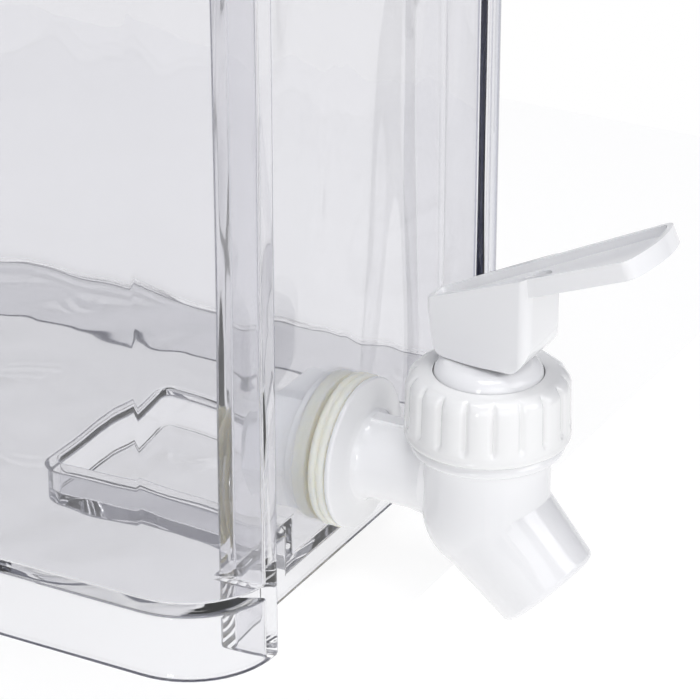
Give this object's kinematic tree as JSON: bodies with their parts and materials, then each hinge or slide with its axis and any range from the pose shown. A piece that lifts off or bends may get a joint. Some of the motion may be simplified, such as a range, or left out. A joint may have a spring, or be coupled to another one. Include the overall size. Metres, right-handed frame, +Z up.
{
  "type": "beverage dispenser",
  "caption": "Clear rectangular drink dispenser tub with a white push-lever tap in a recessed front, a drain sump, and a white lift-off lid with a flip-up filler cap.",
  "frame": {"origin": "on the foot rim's bearing face, in the middle of the front wall's thickness, straight below the tap", "axes": "+Z up, -Y the way the tap points, +X to the right of a person looking along +Y"},
  "size_m": [0.1366, 0.2941, 0.1993],
  "materials": {
    "tub_clear": "crystal-clear moulded plastic, polished",
    "lid_white": "white moulded plastic, satin gloss",
    "tap_white": "white moulded plastic, glossy",
    "ring_white": "slightly milky white moulded plastic, glossy",
    "silicone": "translucent cream silicone",
    "seal_dark": "black nitrile",
    "steel": "stainless steel"
  },
  "bodies": {
    "container": {"container_body": "tub_clear", "tap_body": "tap_white", "tap_outer_washer": "silicone", "tap_inner_washer": "silicone", "tap_lock_nut": "tap_white", "bonnet_ring": "ring_white", "bonnet": "tap_white", "bonnet_gasket": "silicone", "stem_seal": "seal_dark", "return_spring": "steel"},
    "lid": {"lid": "lid_white", "lid_gasket": "silicone", "filler_pin": "steel"},
    "filler_cap": {"filler_cap": "lid_white", "filler_seal": "silicone"},
    "stem": {"valve_stem": "tap_white", "seat_cup": "silicone"},
    "lever": {"lever": "tap_white", "lever_pin": "steel"}
  },
  "joints": [
    {"name": "lid_lift", "type": "slide", "parent": "container", "child": "lid", "axis": [0, 0, 1], "range_m": [0, 0.08]},
    {"name": "filler_flip", "type": "hinge", "parent": "lid", "child": "filler_cap", "pos_m": [0, 0.0965, 0.1925], "axis": [-1, 0, 0], "range_deg": [0, 110]},
    {"name": "stem_lift", "type": "slide", "parent": "container", "child": "stem", "axis": [0, 0, 1], "range_m": [0, 0.0019], "deforming": ["return_spring"]},
    {"name": "lever_tilt", "type": "hinge", "parent": "stem", "child": "lever", "pos_m": [0, -0.03395, 0.0568], "axis": [1, 0, 0], "range_deg": [0, 25], "stiffness_Nm_per_rad": 0.0212, "springref_deg": -40.91}
  ],
  "couplings": [
    {"joint": "stem_lift", "follows": "lever_tilt", "m_per_rad": 0.0042}
  ]
}
